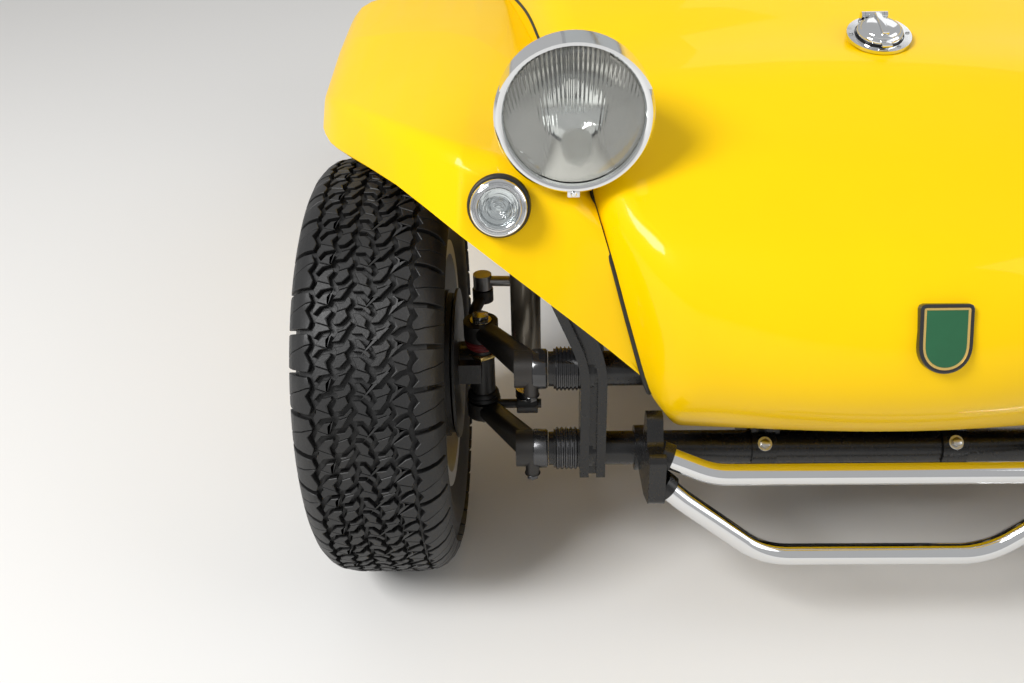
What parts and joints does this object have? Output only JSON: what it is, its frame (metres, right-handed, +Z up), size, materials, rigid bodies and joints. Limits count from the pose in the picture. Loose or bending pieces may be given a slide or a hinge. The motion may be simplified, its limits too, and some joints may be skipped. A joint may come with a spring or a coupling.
{
  "type": "dune buggy",
  "caption": "Open two-seat dune buggy: moulded yellow body, bug-eye lamps, exposed twin-tube front axle and air-cooled rear engine; it rolls and steers.",
  "frame": {"origin": "on the ground, under the centre of the bounding box", "axes": "+X is the vehicle's left, -Y is the front, +Z is up"},
  "size_m": [1.764, 3.2835, 1.3489],
  "materials": {
    "paint": "gloss",
    "chrome": "polished",
    "black_frame": "satin",
    "black_plastic": "matte",
    "steel": "satin",
    "cast_iron": "matte",
    "alloy": "satin",
    "tyre": "matte",
    "glass": "clear",
    "vinyl": "satin",
    "red_lens": "gloss",
    "rubber": "matte"
  },
  "bodies": {
    "chassis": {"floor_pan": "black_frame", "body_tub": "paint", "nose_hood": "paint", "rear_deck": "paint", "front_fender_left": "paint", "front_fender_right": "paint", "rear_fender_left": "paint", "rear_fender_right": "paint", "dashboard": "black_plastic", "windshield_frame": "chrome", "windshield_glass": "glass", "roll_bar": "chrome", "seat_shells": "black_plastic", "seat_cushions": "vinyl", "steering_column": "black_frame", "cockpit_controls": "black_frame", "headlamps": "chrome", "headlamp_lenses": "glass", "turn_signals": "chrome", "tail_lamps": "red_lens", "badge_shield": "black_plastic", "fuel_filler": "chrome", "fuel_tank": "black_frame", "front_axle_beam": "black_frame", "front_trailing_arms": "cast_iron", "front_dampers": "steel", "steering_box": "cast_iron", "front_bumper": "chrome", "bumper_brackets": "black_frame", "rear_torsion_housing": "black_frame", "swing_axles": "black_frame", "rear_dampers": "steel", "gearbox": "alloy", "engine_case": "alloy", "engine_shroud": "black_frame", "fan_and_generator": "black_frame", "belt_drive": "black_frame", "carburettor": "alloy", "exhaust": "black_frame", "rear_bumper": "chrome"},
    "knuckle_left": {"steering_knuckle_left": "cast_iron"},
    "knuckle_right": {"steering_knuckle_right": "cast_iron"},
    "steering_wheel_body": {"steering_wheel": "black_plastic"},
    "drop_arm_body": {"drop_arm": "cast_iron"},
    "tie_rod_left_body": {"tie_rod_left": "steel"},
    "tie_rod_right_body": {"tie_rod_right": "steel"},
    "fuel_cap_body": {"fuel_cap": "chrome"},
    "wheel_front_left_body": {"tyre_front_left": "tyre", "wheel_front_left": "alloy", "brake_drum_front_left": "cast_iron"},
    "wheel_front_right_body": {"tyre_front_right": "tyre", "wheel_front_right": "alloy", "brake_drum_front_right": "cast_iron"},
    "wheel_rear_left_body": {"tyre_rear_left": "tyre", "wheel_rear_left": "alloy", "brake_drum_rear_left": "cast_iron"},
    "wheel_rear_right_body": {"tyre_rear_right": "tyre", "wheel_rear_right": "alloy", "brake_drum_rear_right": "cast_iron"}
  },
  "joints": [
    {"name": "steer_right", "type": "hinge", "parent": "chassis", "child": "knuckle_right", "pos_m": [-0.596, -1.25, 0.346], "axis": [0, 0, 1], "range_deg": [-28, 28]},
    {"name": "steer_left", "type": "hinge", "parent": "chassis", "child": "knuckle_left", "pos_m": [0.596, -1.25, 0.346], "axis": [0, 0, 1], "range_deg": [-28, 28]},
    {"name": "drop_arm_turn", "type": "hinge", "parent": "chassis", "child": "drop_arm_body", "pos_m": [0.3, -1.25, 0.48], "axis": [0, 0, 1], "range_deg": [-28, 28]},
    {"name": "tie_rod_left_swing", "type": "hinge", "parent": "drop_arm_body", "child": "tie_rod_left_body", "pos_m": [0.3, -1.155, 0.452], "axis": [0, 0, 1], "range_deg": [-28, 28]},
    {"name": "tie_rod_right_swing", "type": "hinge", "parent": "drop_arm_body", "child": "tie_rod_right_body", "pos_m": [0.3, -1.155, 0.452], "axis": [0, 0, 1], "range_deg": [-28, 28]},
    {"name": "steering_wheel_turn", "type": "hinge", "parent": "chassis", "child": "steering_wheel_body", "pos_m": [0.3, -0.27, 0.835], "axis": [0, 0.9468, 0.3219], "range_deg": [-393, 393]},
    {"name": "fuel_cap_flip", "type": "hinge", "parent": "chassis", "child": "fuel_cap_body", "pos_m": [0, -1.16706, 0.88921], "axis": [-1, 0, 0], "range_deg": [0, 100]},
    {"name": "roll_front_left", "type": "hinge", "parent": "knuckle_left", "child": "wheel_front_left_body", "pos_m": [0.742, -1.25, 0.346], "axis": [1, 0, 0], "continuous": true},
    {"name": "roll_front_right", "type": "hinge", "parent": "knuckle_right", "child": "wheel_front_right_body", "pos_m": [-0.742, -1.25, 0.346], "axis": [1, 0, 0], "continuous": true},
    {"name": "roll_rear_left", "type": "hinge", "parent": "chassis", "child": "wheel_rear_left_body", "pos_m": [0.738, 0.79, 0.374], "axis": [1, 0, 0], "continuous": true},
    {"name": "roll_rear_right", "type": "hinge", "parent": "chassis", "child": "wheel_rear_right_body", "pos_m": [-0.738, 0.79, 0.374], "axis": [1, 0, 0], "continuous": true}
  ],
  "couplings": [
    {"joint": "steer_left", "follows": "steer_right", "ratio": 1},
    {"joint": "drop_arm_turn", "follows": "steer_right", "ratio": 1},
    {"joint": "tie_rod_left_swing", "follows": "steer_right", "ratio": -1},
    {"joint": "tie_rod_right_swing", "follows": "steer_right", "ratio": -1},
    {"joint": "steering_wheel_turn", "follows": "steer_right", "ratio": 14}
  ]
}
